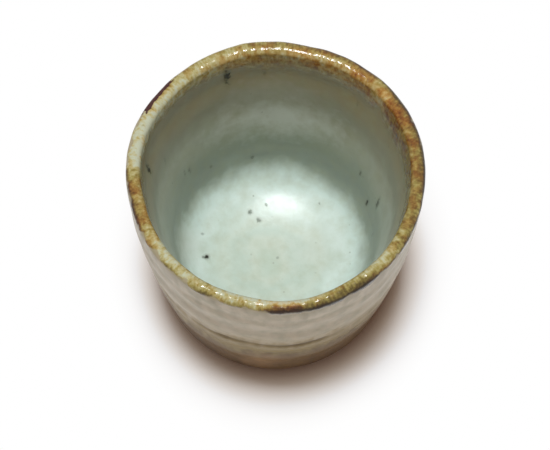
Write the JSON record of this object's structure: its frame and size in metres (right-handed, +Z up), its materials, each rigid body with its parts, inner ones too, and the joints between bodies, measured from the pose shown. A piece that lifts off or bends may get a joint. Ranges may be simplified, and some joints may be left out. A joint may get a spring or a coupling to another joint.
{
  "type": "soba choko cup",
  "caption": "Small wheel-thrown stoneware dipping cup with a gently swelling ringed wall, dished floor, bare foot ring, pale glaze inside and out, and an iron-brown glazed lip.",
  "frame": {"origin": "centre of the plane that the foot ring stands on", "axes": "+Z up out of the mouth, -Y towards the side that the picture is taken from, +X to that view's right"},
  "size_m": [0.0805, 0.0803, 0.0705],
  "materials": {
    "bare_clay": "fired iron-bearing stoneware, matt, gritty, turned marks on the foot",
    "white_slip": "thin coat of white clay slip, matt where it shows below the glaze",
    "inside_glaze": "glossy pale green-white ash glaze with iron specks and pinholes",
    "outside_glaze": "glossy warm grey-white glaze, thinner and browner towards the foot",
    "lip_iron_glaze": "glossy ochre to rust iron glaze, streaked and broken along the lip"
  },
  "bodies": {
    "root": {"clay_body": "bare_clay", "white_slip": "white_slip", "inside_glaze": "inside_glaze", "outside_glaze": "outside_glaze", "lip_iron_glaze": "lip_iron_glaze"}
  },
  "joints": []
}
